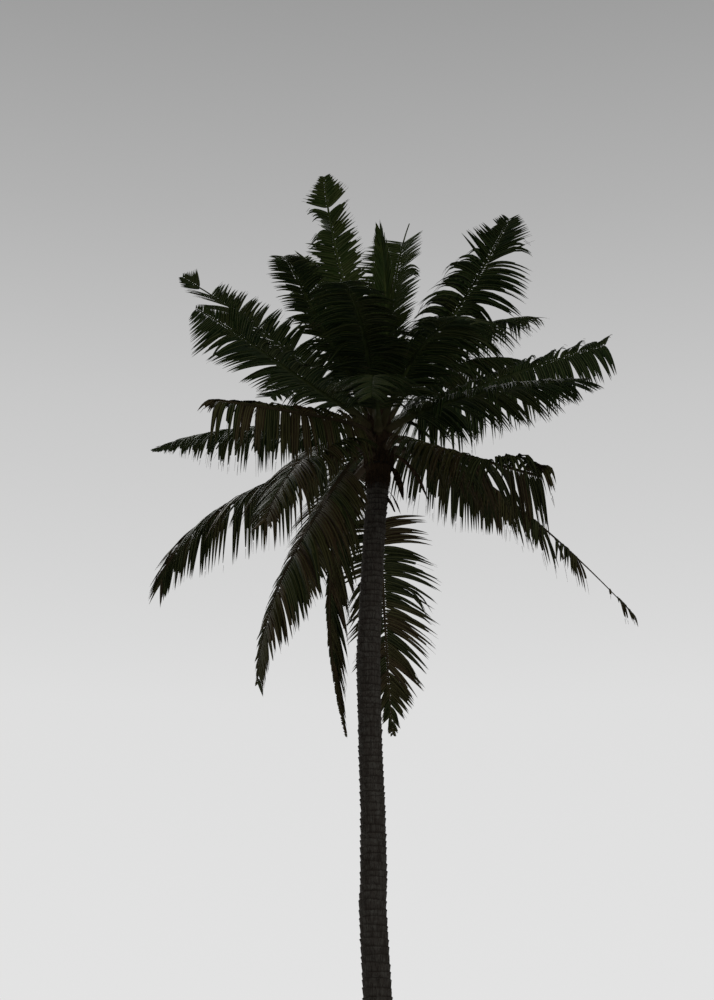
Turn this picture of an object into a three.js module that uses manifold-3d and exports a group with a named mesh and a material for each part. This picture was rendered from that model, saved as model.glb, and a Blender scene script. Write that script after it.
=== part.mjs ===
// A coconut palm: a slim leaning trunk with a swollen foot, and a crown of feather fronds in every
// stage, from the upright spear to the old ones that hang beside the trunk.
// The origin is the middle of the trunk's cut at ground level, +Z is up and -Y faces the viewer.
import * as THREE from "three";
import Module from "manifold-3d";

// Trunk: height, sideways lean and radius at each place where the line of the trunk changes.
const TRUNK = [
  { z: 0, lean: 0, radius: 310 },
  { z: 90, lean: 0, radius: 282 },
  { z: 260, lean: -2, radius: 248 },
  { z: 550, lean: -5, radius: 224 },
  { z: 1000, lean: -12, radius: 211 },
  { z: 1800, lean: -27, radius: 205 },
  { z: 2900, lean: -55, radius: 201 },
  { z: 4100, lean: -84, radius: 198 },
  { z: 5300, lean: -148, radius: 190 },
  { z: 5600, lean: -130, radius: 188 },
  { z: 6600, lean: -138, radius: 174 },
  { z: 7500, lean: -172, radius: 169 },
  { z: 8800, lean: -198, radius: 172 },
  { z: 9900, lean: -150, radius: 163 },
  { z: 10900, lean: -92, radius: 159 },
  { z: 11500, lean: -42, radius: 167 },
  { z: 11800, lean: -36, radius: 170 },
  { z: 12100, lean: -35, radius: 165 },
  { z: 12400, lean: -35, radius: 140 },
  { z: 12750, lean: -35, radius: 80 },
  { z: 12950, lean: -35, radius: 26 },
];
const TRUNK_SIDES = 16;
const TRUNK_PITCH = 420; // longest step between two rings of the trunk
const JOINT_GAP = 0.3; // between a foot and the trunk

// Fronds, youngest first. heading, foot, rise, tip, sweep, rolls, lift and spread are angles in
// degrees: heading is seen from above (0 = +X), foot, rise and tip are the slope of the rib where it
// leaves the trunk, just past its bend and at its end, sweep turns it sideways along its length,
// rolls tips the blade over, as pairs of a share of the length and an angle, lift raises the leaflets
// off the blade and spread is their angle to the rib. height is where the foot sits on the trunk,
// bend shapes the arch, stalk is bare, droop is how far the leaflets fall and leaf is the longest
// leaflet. footLeaf and tipLeaf are the shares of it that the first and last ones have, and sides
// the shares on the two sides of the rib. snap is the share that is left of a frond that has broken
// off and bare lists the stretches, as shares of the length, that have lost their leaflets.
const FROND = {
  foot: 35,
  sweep: 0,
  bend: 1.3,
  rolls: [[0, 0]],
  stalk: 600,
  droop: 0.8,
  leaf: 850,
  footLeaf: 0.7,
  tipLeaf: 0.35,
  sides: [1, 1],
  lift: 12,
  spread: 72,
  tipSpread: 38,
  snap: 1,
  bare: [],
  parts: 1,
};
const FRONDS = [
  { name: "spear", heading: 321, height: 12900, length: 2780, foot: 75, rise: 80, tip: 100, sweep: -14,
    bend: 0.8, droop: 0.05, leaf: 520, tipLeaf: 0.95, sides: [0.55, 1.2], lift: 35, spread: 24,
    tipSpread: 16 },
  { name: "young_right", heading: 56, height: 12720, length: 3700, foot: 60, rise: 86, tip: 60, sweep: 6,
    bend: 1.9, droop: 0.2, leaf: 680, sides: [0.8, 1.18], lift: 16, tipSpread: 72, bare: [[0.88, 1]] },
  { name: "crest", heading: 235, height: 12700, length: 3580, foot: 60, rise: 68, tip: 86, sweep: -30,
    bend: 2.2, rolls: [[0, -50], [0.7, -50], [0.77, -5], [0.84, -60]], droop: 0.15, leaf: 540,
    tipLeaf: 0.42, sides: [0.92, 0.88], lift: 16, tipSpread: 42, snap: 0.86 },
  { name: "back_steep", heading: 126, height: 12620, length: 3950, foot: 60, rise: 72, tip: 48, droop: 0.5,
    leaf: 660 },
  { name: "left_steep", heading: 140, height: 12530, length: 3600, foot: 45, rise: 64, tip: 40, sweep: -19,
    bend: 2.5, droop: 0.5, leaf: 460, lift: 16 },
  { name: "upper_right", heading: 313, height: 12560, length: 4060, foot: 45, rise: 28, tip: 6, sweep: -31,
    bend: 2.1, droop: 1.3, leaf: 880, sides: [0.95, 0.95], lift: 16, tipSpread: 50 },
  { name: "upper_left", heading: 230, height: 12540, length: 4220, foot: 45, rise: 31, tip: -44, sweep: 40,
    bend: 2.5, droop: 0.6, leaf: 550, sides: [0.8, 1], lift: 16, parts: 2 },
  { name: "right_back", heading: 38, height: 12490, length: 4050, foot: 45, rise: 67, tip: 15, sweep: -5,
    bend: 1.1, droop: 1.8, leaf: 950 },
  { name: "left_lifted", heading: 168, height: 12400, length: 4280, foot: 45, rise: 52, tip: 37, sweep: -9,
    bend: 0.8, rolls: [[0, 50], [1, 30]], droop: 0.3, sides: [0.9, 1], lift: 16, bare: [[0.86, 0.9]] },
  { name: "front_left", heading: 262, height: 12420, length: 4120, foot: 40, rise: 31, tip: -30,
    droop: 0.9, leaf: 800, tipSpread: 62, parts: 2 },
  { name: "back_left", heading: 120, height: 12400, length: 3950, foot: 40, rise: 46, tip: 4, droop: 0.7,
    leaf: 800 },
  { name: "right_level", heading: 20, height: 12350, length: 3900, rise: 37, tip: 16, sweep: -22,
    bend: 0.8, rolls: [[0, 28]], droop: 1.7, leaf: 1050, footLeaf: 1, sides: [0.5, 1], lift: 25 },
  { name: "front_right", heading: 288, height: 12300, length: 4200, foot: 40, rise: 24, tip: -36,
    droop: 0.7, parts: 2 },
  { name: "right_mid", heading: 40, height: 12185, length: 4000, rise: 66, tip: -4, droop: 2.2, leaf: 950 },
  { name: "back_right", heading: 68, height: 12300, length: 4300, rise: 40, tip: 0, droop: 1.9, leaf: 1000,
    footLeaf: 0.9 },
  { name: "left_front", heading: 217, height: 12290, length: 3950, foot: 40, rise: 13, tip: -10, sweep: 28,
    bend: 2.5, droop: 0.7, leaf: 720, lift: 10 },
  { name: "left_level", heading: 151, height: 12230, length: 3900, rise: 15, tip: -14, sweep: 7, bend: 1.9,
    droop: 1.9, leaf: 800, footLeaf: 1, tipLeaf: 0.06, lift: 10 },
  { name: "right_front", heading: 322, height: 12260, length: 3500, foot: 30, rise: 6, tip: -16,
    droop: 1.2, footLeaf: 1, stalk: 500 },
  { name: "front_low", heading: 268, height: 12200, length: 4100, foot: 30, rise: 6, tip: -46 },
  { name: "back_mid", heading: 97, height: 12150, length: 4200, rise: 26, tip: -14 },
  { name: "left_snapped", heading: 245, height: 12080, length: 3520, foot: 30, rise: -14, tip: -8,
    sweep: -28, bend: 1, rolls: [[0, 60]], droop: 1.8, leaf: 700, sides: [0.45, 1.45], lift: 18,
    tipSpread: 70, stalk: 400, snap: 0.62 },
  { name: "right_frayed", heading: 334, height: 12090, length: 4800, foot: 25, rise: -33, tip: -52,
    sweep: 8, bend: 0.8, droop: 2.1, leaf: 860, lift: 10, stalk: 500,
    bare: [[0.53, 0.56], [0.63, 0.7], [0.79, 0.93]] },
  { name: "left_arching", heading: 145, height: 12050, length: 4370, foot: 25, rise: -10, tip: -75,
    sweep: 9, bend: 3.6, droop: 2, leaf: 1120, tipLeaf: 0.36, lift: 5, tipSpread: 28, parts: 2 },
  { name: "right_low", heading: 40, height: 12050, length: 2500, foot: 25, rise: 0, tip: -35, droop: 2,
    leaf: 950, footLeaf: 1, tipLeaf: 0.4, lift: 10, stalk: 350 },
  { name: "right_snapped", heading: 302, height: 11980, length: 3720, foot: 25, rise: -27.5, tip: -27,
    sweep: 11, bend: 0.8, rolls: [[0, 15], [0.72, 15], [0.82, 75], [1, 60]], droop: 2.6, leaf: 950,
    lift: 10, tipSpread: 78, stalk: 400, snap: 0.62 },
  { name: "back_low", heading: 107, height: 11960, length: 4350, foot: 25, rise: 5, tip: -40, droop: 1.2,
    leaf: 900, lift: 10, stalk: 800 },
  { name: "left_low", heading: 240, height: 11940, length: 3700, foot: 20, rise: -16, tip: -64, droop: 1.2,
    leaf: 900, lift: 10, parts: 2 },
  { name: "left_hanging", heading: 239, height: 11850, length: 4700, foot: 20, rise: -53, tip: -91,
    sweep: -40, bend: 2.5, rolls: [[0, 15]], droop: 1.6, leaf: 800, tipLeaf: 0.25, sides: [0.4, 1.4],
    lift: 5, stalk: 900 },
  { name: "back_hanging", heading: 129.5, height: 11790, length: 4600, foot: 20, rise: -42, tip: -66,
    sweep: -71.5, bend: 0.8, droop: 1.2, leaf: 900, footLeaf: 1, tipLeaf: 0.08, sides: [1, 0.14], lift: 5,
    spread: 43, tipSpread: 8, stalk: 900 },
  { name: "right_hanging", heading: 89, height: 11710, length: 4600, foot: 20, rise: -37, tip: -62,
    sweep: -8, bend: 0.8, droop: 0.6, leaf: 900, tipLeaf: 0.08, sides: [1.05, 0.9], lift: 16, spread: 102,
    tipSpread: 24, stalk: 1020 },
];

// What hangs from the foot of the crown besides the fronds: an old flower sheath, loose strips of
// fibre and the stub of a shed frond. width and thick are at their widest place.
const HANGERS = [
  { name: "flower_sheath", heading: 359, height: 11740, length: 580, foot: -48, rise: -80, tip: -86, sweep: 0,
    bend: 1, rolls: [[0, 0], [0.4, 70], [1, 80]], width: 104, thick: 34, footWidth: 0.7 },
  { name: "fibre_strip_long", heading: 2, height: 11930, length: 1000, foot: -5, rise: -58, tip: -74,
    sweep: 0, bend: 1, rolls: [[0, 20], [0.4, 70], [1, 80]], width: 58, thick: 14, footWidth: 0.8 },
  { name: "fibre_strip_short", heading: 8, height: 11360, length: 400, foot: -50, rise: -74, tip: -78,
    sweep: 0, bend: 1, rolls: [[0, -20], [0.5, -60], [1, -80]], width: 40, thick: 12, footWidth: 0.8 },
  { name: "frond_stub", heading: 352, height: 11220, length: 220, foot: -50, rise: -84, tip: -88, sweep: 0,
    bend: 1, rolls: [[0, 0]], width: 96, thick: 44, footWidth: 1 },
];

// The torn fibre cloth that wraps the front of the trunk under the lowest fronds.
const SKIRT = {
  from: 165,
  to: 338,
  columns: 18,
  top: 11735,
  bottom: 11560,
  fray: 150,
  gap: 2,
  flare: 7,
  thick: 10,
};

const FOOT_BEND = 250; // length in which a rib turns from its foot's slope to its own
const STALK_RINGS = [0, 110, 260, 520]; // distances from the foot
const STALK_REST = 60; // bare stalk between the last of them and the first leaflet
const PAIRS = 13; // leaflets on each side of a frond
const ROOT_SHARE = 0.62; // share of the leaflets' pitch that a leaflet's root takes up
const RIB_STEPS = 120;
const RIB = { width: 60, height: 46, footHeight: 92, footShare: 0.75, taper: 0.78, flare: 140 };
const LEAFLET = { waist: 0.55, width: 150, thick: 12, fall: 1.1, fallPower: 0.8, steps: 8, shortest: 120 };
const FOLDED_WIDTH = 1.3; // leaflets at a small angle to the rib narrow to this times its sine
const SHORTER = [1, 0.7, 0.45]; // lengths tried for a leaflet that would touch something
const CLEARANCE = 6; // kept between a leaflet and its neighbours
const JITTER = 5; // degrees either way in a leaflet's angle
const SPLIT_GAP = 0.6; // between the two parts of a frond that is parted at its bend
const SPLIT_AT = 0.42; // where it is parted, as a share of the leafy length

const rad = THREE.MathUtils.degToRad;
const lerp = THREE.MathUtils.lerp;

// A repeatable stream of numbers from 0 to 1, seeded by a name.
function seededStream(name) {
  let state = [...name].reduce((sum, letter) => (sum * 31 + letter.charCodeAt(0)) % 233280, 7);
  return () => {
    state = (state * 9301 + 49297) % 233280;
    return state / 233280;
  };
}

// Lean and radius of the trunk at height z.
function trunkAt(z) {
  const last = TRUNK.length - 1;
  const upper = Math.min(Math.max(TRUNK.findIndex((place) => place.z >= z), 1), last);
  const a = TRUNK[upper - 1];
  const b = TRUNK[upper];
  const share = THREE.MathUtils.clamp((z - a.z) / (b.z - a.z), 0, 1);
  return { lean: lerp(a.lean, b.lean, share), radius: lerp(a.radius, b.radius, share) };
}

// How far the many-sided trunk reaches from the origin's axis towards a heading, at height z.
function trunkReach(z, heading) {
  const { lean, radius } = trunkAt(z);
  const corner = (2 * Math.PI) / TRUNK_SIDES;
  const off = heading - Math.round(heading / corner) * corner;
  return lean * Math.cos(heading) + radius * Math.cos(off);
}

// Collects points and faces of one closed surface.
class Shell {
  points = [];
  faces = [];

  add(point) {
    this.points.push(point);
    return this.points.length - 1;
  }

  quad(a, b, c, d) {
    this.faces.push([a, b, c], [a, c, d]);
  }

  geometry() {
    const flat = this.points.flatMap((point) => [point.x, point.y, point.z]);
    return new THREE.BufferGeometry()
      .setAttribute("position", new THREE.BufferAttribute(new Float32Array(flat), 3))
      .setIndex(this.faces.flat());
  }
}

// How far a blade is tipped over at a share of its length.
function rollAt(rolls, share) {
  const next = rolls.findIndex(([mark]) => mark >= share);
  if (next === 0) return rolls[0][1];
  if (next < 0) return rolls[rolls.length - 1][1];
  const [from, start] = rolls[next - 1];
  const [to, end] = rolls[next];
  return lerp(start, end, (share - from) / (to - from));
}

// The line of a rib: points, directions and blade axes at even steps from the foot to the tip.
function ribLine(frond) {
  const { lean, radius } = trunkAt(frond.height);
  const heading = rad(frond.heading);
  const foot = [lean + radius * Math.cos(heading), radius * Math.sin(heading), frond.height];
  const point = new THREE.Vector3(...foot);
  const line = [];
  for (let step = 0; step <= RIB_STEPS; step += 1) {
    const share = step / RIB_STEPS;
    const bend = (frond.foot - frond.rise) * Math.exp((-share * frond.length) / FOOT_BEND);
    const slope = rad(frond.rise + (frond.tip - frond.rise) * share ** frond.bend + bend);
    const turn = rad(frond.heading + frond.sweep * share);
    const along = new THREE.Vector3(
      Math.cos(slope) * Math.cos(turn),
      Math.cos(slope) * Math.sin(turn),
      Math.sin(slope),
    );
    const flat = new THREE.Vector3(Math.sin(turn), -Math.cos(turn), 0);
    const roll = rad(rollAt(frond.rolls, share));
    const side = flat.applyAxisAngle(along, -roll);
    const up = side.clone().cross(along);
    line.push({ point: point.clone(), along, side, up });
    point.addScaledVector(along, frond.length / RIB_STEPS);
  }
  return line;
}

// A rib's place and axes at a distance from the foot.
function ribAt(frond, line, distance) {
  const exact = (distance / frond.length) * RIB_STEPS;
  const step = Math.min(Math.floor(exact), RIB_STEPS - 1);
  const mix = (key) => line[step][key].clone().lerp(line[step + 1][key], exact - step);
  const axes = { point: mix("point"), along: mix("along"), side: mix("side"), up: mix("up") };
  axes.along.normalize();
  axes.side.normalize();
  axes.up.normalize();
  return axes;
}

// The three corners of a rib's section: a flat top and a keel below it.
function ribSection(axes, width, height) {
  const top = axes.point.clone().addScaledVector(axes.up, height / 3);
  return {
    right: top.clone().addScaledVector(axes.side, width / 2),
    left: top.clone().addScaledVector(axes.side, -width / 2),
    keel: axes.point.clone().addScaledVector(axes.up, (-2 * height) / 3),
  };
}

// Width and height of a frond's rib at a distance from the foot.
function ribSize(frond, distance) {
  const slim = 1 - (RIB.taper * distance) / frond.length;
  const flare = Math.exp(-distance / RIB.flare);
  const footWidth = RIB.footShare * trunkAt(frond.height).radius;
  return {
    width: RIB.width * slim + (footWidth - RIB.width) * flare,
    height: RIB.height * slim + (RIB.footHeight - RIB.height) * flare,
  };
}

// Sets the three corners of a foot against the trunk's surface, clear of any swell between them.
function seatFoot(heading, ring) {
  const turn = rad(heading);
  const out = new THREE.Vector3(Math.cos(turn), Math.sin(turn), 0);
  const corners = [ring.right, ring.left, ring.keel];
  const low = Math.min(...corners.map((corner) => corner.z));
  const high = Math.max(...corners.map((corner) => corner.z));
  const lowReach = trunkReach(low, turn);
  const highReach = trunkReach(high, turn);
  const swells = TRUNK.filter((place) => place.z > low && place.z < high).map(
    (place) => trunkReach(place.z, turn) - lerp(lowReach, highReach, (place.z - low) / (high - low)),
  );
  const swell = Math.max(0, ...swells);
  for (const corner of corners) {
    const chord = lerp(lowReach, highReach, (corner.z - low) / (high - low));
    corner.addScaledVector(out, chord + swell + JOINT_GAP - corner.dot(out));
  }
}

// Share of the longest leaflet's length at share s of the leafy part.
function leafShare(frond, s) {
  const foot = lerp(frond.footLeaf, 1, Math.min(1, s / 0.25));
  return foot * lerp(1, frond.tipLeaf, Math.max(0, (s - 0.5) / 0.5) ** 1.3);
}

// The angle between the rib and the leaflets that grow from a ring.
function spreadAt(frond, ring) {
  return rad(lerp(frond.spread, frond.tipSpread, ring.s * frond.snap));
}

// A leaflet's middle line: it leaves the rib at an angle and falls more and more towards its tip.
function leafletLine(frond, root, hand, length, angleJitter, liftJitter) {
  const { axes } = root;
  const spread = spreadAt(frond, root);
  const angle = spread + rad(angleJitter) * Math.sin(spread);
  const lift = rad(frond.lift + liftJitter);
  const sideways = axes.side.clone().multiplyScalar(hand * Math.cos(lift));
  const out = sideways.addScaledVector(axes.up, Math.sin(lift));
  const start = axes.along.clone().multiplyScalar(Math.cos(angle)).addScaledVector(out, Math.sin(angle));
  const fall = frond.droop * LEAFLET.fall * leafShare(frond, root.s * frond.snap);
  const point = axes.point.clone();
  const line = [{ point: point.clone(), along: start.clone() }];
  for (let step = 0; step < LEAFLET.steps; step += 1) {
    const share = (step + 0.5) / LEAFLET.steps;
    const along = start.clone();
    along.z -= fall * share ** LEAFLET.fallPower;
    along.normalize();
    point.addScaledVector(along, length / LEAFLET.steps);
    line.push({ point: point.clone(), along });
  }
  return line;
}

// The corners of a leaflet's waist, in the order of the rib's face that it grows from, and its tip.
function leafletShape(axes, hand, line, width, thick) {
  const waist = line[Math.round(LEAFLET.waist * LEAFLET.steps)];
  const across = axes.along.clone().addScaledVector(waist.along, -axes.along.dot(waist.along)).normalize();
  const normal = across.clone().cross(waist.along).multiplyScalar(-hand).normalize();
  const corner = (forward, over) =>
    waist.point
      .clone()
      .addScaledVector(across, (forward * width) / 2)
      .addScaledVector(normal, (over * thick) / 2);
  const ring = [corner(-1, 1), corner(-1, -1), corner(1, -1), corner(1, 1)];
  return { ring: hand > 0 ? ring : [ring[1], ring[0], ring[3], ring[2]], tip: line[LEAFLET.steps].point };
}

// Adds a leaflet's faces to a shell, growing from the four points of its root.
function addLeaflet(shell, root, shape) {
  const waist = shape.ring.map((point) => shell.add(point));
  const tip = shell.add(shape.tip);
  root.forEach((corner, i) => {
    const next = (i + 1) % 4;
    shell.quad(corner, root[next], waist[next], waist[i]);
    shell.faces.push([waist[i], waist[next], tip]);
  });
}

// The rings of a frond, from its foot to its tip, and where its leaflets stand.
function frondPlan(frond) {
  const line = ribLine(frond);
  const pitch = (frond.length - frond.stalk) / PAIRS;
  const random = seededStream(frond.name);
  const bareRings = STALK_RINGS.filter((distance) => distance < frond.stalk - STALK_REST);
  const rings = bareRings.map((distance) => ({ distance }));
  for (let i = 0; i < PAIRS; i += 1) {
    const distance = frond.stalk + pitch * (i + (1 - ROOT_SHARE) / 2);
    const middle = distance + (pitch * ROOT_SHARE) / 2;
    const share = middle / frond.length;
    const s = (middle - frond.stalk) / (frond.length - frond.stalk);
    const longest = frond.leaf * leafShare(frond, s * frond.snap);
    const torn = frond.bare.some(([from, to]) => share > from && share < to);
    const leaflets = [1, -1].map((hand, side) => ({
      hand,
      angle: JITTER * (2 * random() - 1),
      lift: JITTER * (2 * random() - 1),
      length: torn ? 0 : longest * frond.sides[side] * (0.92 + 0.12 * random()),
    }));
    rings.push({ distance, s, leaflets, axes: ribAt(frond, line, middle), width: pitch * ROOT_SHARE });
    rings.push({ distance: distance + pitch * ROOT_SHARE });
  }
  for (const ring of rings) {
    const { width, height } = ribSize(frond, ring.distance);
    Object.assign(ring, ribSection(ribAt(frond, line, ring.distance), width, height));
  }
  seatFoot(frond.heading, rings[0]);
  return { rings, tip: line[RIB_STEPS].point };
}

// The rings of a hanger, widest a little way down and pointed at its end.
function hangerPlan(hanger) {
  const line = ribLine(hanger);
  const shares = [0, 0.16, 0.38, 0.68];
  const widths = [hanger.footWidth, 0.9, 1, 0.72];
  const rings = shares.map((share, i) => {
    const axes = ribAt(hanger, line, share * hanger.length);
    return ribSection(axes, hanger.width * widths[i], hanger.thick);
  });
  seatFoot(hanger.heading, rings[0]);
  return { rings, tip: line[RIB_STEPS].point };
}

// One closed surface from a run of rings, with the leaflets that they carry.
function ribShell(rings, tip) {
  const shell = new Shell();
  const corners = rings.map((ring) => ({
    left: shell.add(ring.left),
    right: shell.add(ring.right),
    keel: shell.add(ring.keel),
  }));
  const first = corners[0];
  shell.faces.push([first.left, first.keel, first.right]);
  for (let i = 0; i + 1 < rings.length; i += 1) {
    const a = corners[i];
    const b = corners[i + 1];
    shell.quad(a.left, a.right, b.right, b.left);
    const roots = { 1: [a.right, a.keel, b.keel, b.right], "-1": [a.keel, a.left, b.left, b.keel] };
    for (const hand of [1, -1]) {
      const shape = rings[i].shapes && rings[i].shapes[hand];
      if (shape) addLeaflet(shell, roots[hand], shape);
      else shell.quad(...roots[hand]);
    }
  }
  const last = corners[rings.length - 1];
  if (tip) {
    const end = shell.add(tip);
    shell.faces.push([last.left, last.right, end], [last.right, last.keel, end], [last.keel, last.left, end]);
  } else {
    shell.faces.push([last.left, last.right, last.keel]);
  }
  return shell;
}

// Parts a frond's rings in two at its bend, in the gap between two leaflets.
function splitRings(frond, plan) {
  if (frond.parts === 1) return [{ rings: plan.rings, tip: plan.tip, suffix: "" }];
  const at = plan.rings.findIndex((ring) => ring.leaflets && ring.s > SPLIT_AT);
  const before = plan.rings[at - 1];
  const after = plan.rings[at];
  const mixed = (share) => {
    const ring = {};
    for (const key of ["left", "right", "keel"]) ring[key] = before[key].clone().lerp(after[key], share);
    return ring;
  };
  const gap = SPLIT_GAP / before.keel.distanceTo(after.keel);
  return [
    { rings: [...plan.rings.slice(0, at), mixed(0.5)], tip: null, suffix: "_near_half" },
    { rings: [mixed(0.5 + gap), ...plan.rings.slice(at)], tip: plan.tip, suffix: "_far_half" },
  ];
}

const wasm = await Module();
wasm.setup();

function solidOf(shell) {
  const geometry = shell.geometry();
  return new wasm.Manifold(
    new wasm.Mesh({
      numProp: 3,
      vertProperties: geometry.attributes.position.array,
      triVerts: new Uint32Array(geometry.index.array),
    }),
  );
}

function touches(solid, other) {
  const a = solid.boundingBox();
  const b = other.boundingBox();
  if ([0, 1, 2].some((axis) => a.min[axis] > b.max[axis] || b.min[axis] > a.max[axis])) return false;
  const common = solid.intersect(other);
  const met = common.volume() > 0;
  common.delete();
  return met;
}

// A leaflet alone, grown by the clearance, to try against its neighbours.
function trialLeaflet(ring, next, hand, shape) {
  const shell = new Shell();
  const roots = {
    1: [ring.right, ring.keel, next.keel, next.right],
    "-1": [ring.keel, ring.left, next.left, next.keel],
  };
  const root = roots[hand].map((point) => shell.add(point));
  shell.quad(root[3], root[2], root[1], root[0]);
  addLeaflet(shell, root, shape);
  return solidOf(shell);
}

// A leaflet's shape at a length, or null where it would touch a neighbour.
function fittedLeaflet(frond, ring, next, leaflet, length, others) {
  const { hand, angle, lift } = leaflet;
  const room = Math.min(1, FOLDED_WIDTH * Math.sin(spreadAt(frond, ring)));
  const width = Math.min(LEAFLET.width, ring.width * room) * Math.min(1, 0.45 + length / 900);
  const beyond = leafletLine(frond, ring, hand, length + CLEARANCE, angle, lift);
  const grown = leafletShape(ring.axes, hand, beyond, width + 2 * CLEARANCE, LEAFLET.thick + 2 * CLEARANCE);
  const trial = trialLeaflet(ring, next, hand, grown);
  const free = !others.some((other) => touches(trial, other));
  trial.delete();
  if (!free) return null;
  const line = leafletLine(frond, ring, hand, length, angle, lift);
  return leafletShape(ring.axes, hand, line, width, LEAFLET.thick);
}

// Gives each leaflet of a frond the longest length that touches nothing, or leaves it out.
function growLeaflets(frond, plan, others) {
  plan.rings.forEach((ring, i) => {
    if (!ring.leaflets) return;
    ring.shapes = {};
    for (const leaflet of ring.leaflets) {
      for (const share of SHORTER) {
        const length = leaflet.length * share;
        if (length < LEAFLET.shortest) break;
        const shape = fittedLeaflet(frond, ring, plan.rings[i + 1], leaflet, length, others);
        if (shape) {
          ring.shapes[leaflet.hand] = shape;
          break;
        }
      }
    }
  });
}

// The trunk: rings of points joined up, with its flat cut at ground level and its blunt tip.
function trunkShell() {
  const heights = [];
  for (let i = 0; i + 1 < TRUNK.length; i += 1) {
    const steps = Math.ceil((TRUNK[i + 1].z - TRUNK[i].z) / TRUNK_PITCH);
    for (let step = 0; step < steps; step += 1) heights.push(lerp(TRUNK[i].z, TRUNK[i + 1].z, step / steps));
  }
  heights.push(TRUNK[TRUNK.length - 1].z);
  const shell = new Shell();
  const rings = heights.map((z) => {
    const { lean, radius } = trunkAt(z);
    return Array.from({ length: TRUNK_SIDES }, (_, i) => {
      const turn = (2 * Math.PI * i) / TRUNK_SIDES;
      return shell.add(new THREE.Vector3(lean + radius * Math.cos(turn), radius * Math.sin(turn), z));
    });
  });
  for (let k = 0; k + 1 < rings.length; k += 1) {
    for (let i = 0; i < TRUNK_SIDES; i += 1) {
      const next = (i + 1) % TRUNK_SIDES;
      shell.quad(rings[k][i], rings[k][next], rings[k + 1][next], rings[k + 1][i]);
    }
  }
  const top = rings[rings.length - 1];
  for (let i = 1; i + 1 < TRUNK_SIDES; i += 1) {
    shell.faces.push([rings[0][0], rings[0][i + 1], rings[0][i]], [top[0], top[i], top[i + 1]]);
  }
  return shell;
}

// The fibre cloth: a thin curved sheet with a frayed lower edge.
function skirtShell() {
  const shell = new Shell();
  const random = seededStream("skirt");
  const columns = [];
  for (let i = 0; i <= SKIRT.columns; i += 1) {
    const turn = rad(lerp(SKIRT.from, SKIRT.to, i / SKIRT.columns));
    const bottom = SKIRT.bottom - (i % 2) * SKIRT.fray * (0.5 + 0.5 * random());
    const point = (z, over) => {
      const { lean, radius } = trunkAt(z);
      const out = radius + SKIRT.gap + over;
      return shell.add(new THREE.Vector3(lean + out * Math.cos(turn), out * Math.sin(turn), z));
    };
    const edge = i === 0 || i === SKIRT.columns ? 0.5 : 1;
    columns.push([
      point(SKIRT.top, 0),
      point(SKIRT.top, SKIRT.thick * edge),
      point(bottom, SKIRT.flare + SKIRT.thick * 1.6 * edge),
      point(bottom, SKIRT.flare),
    ]);
  }
  for (let i = 0; i + 1 < columns.length; i += 1) {
    const a = columns[i];
    const b = columns[i + 1];
    a.forEach((corner, k) => {
      const next = (k + 1) % 4;
      shell.quad(corner, a[next], b[next], b[k]);
    });
  }
  const first = columns[0];
  const last = columns[columns.length - 1];
  shell.quad(first[3], first[2], first[1], first[0]);
  shell.quad(...last);
  return shell;
}

const materials = {
  bark: new THREE.MeshStandardMaterial({ color: 0x8a8175, roughness: 0.9 }),
  leaf: new THREE.MeshStandardMaterial({ color: 0x4f6b32, roughness: 0.6 }),
  fibre: new THREE.MeshStandardMaterial({ color: 0x6b5238, roughness: 0.95 }),
};

const root = new THREE.Group();
root.name = "coconut_palm";

function addNode(name, shell, material) {
  const mesh = new THREE.Mesh(shell.geometry(), materials[material].clone());
  mesh.name = name;
  root.add(mesh);
}

const trunk = trunkShell();
addNode("trunk", trunk, "bark");
const skirt = skirtShell();
addNode("fibre_skirt", skirt, "fibre");
const hangers = HANGERS.map((hanger) => {
  const plan = hangerPlan(hanger);
  const shell = ribShell(plan.rings, plan.tip);
  addNode(hanger.name, shell, "fibre");
  return solidOf(shell);
});

// Each frond's leaflets are tried against the trunk, the hangers and every other frond as it stands.
const fronds = FRONDS.map((row) => ({ ...FROND, ...row }));
const plans = fronds.map(frondPlan);
const solids = plans.map((plan) => solidOf(ribShell(plan.rings, plan.tip)));
const fixed = [solidOf(trunk), solidOf(skirt), ...hangers];
fronds.forEach((frond, i) => {
  const plan = plans[i];
  growLeaflets(frond, plan, [...fixed, ...solids.filter((_, k) => k !== i)]);
  solids[i] = solidOf(ribShell(plan.rings, plan.tip));
  for (const part of splitRings(frond, plan)) {
    addNode(`frond_${frond.name}${part.suffix}`, ribShell(part.rings, part.tip), "leaf");
  }
});

export default root;
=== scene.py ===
import math

import bmesh
import bpy
import numpy as np
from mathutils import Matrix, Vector, noise


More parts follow.
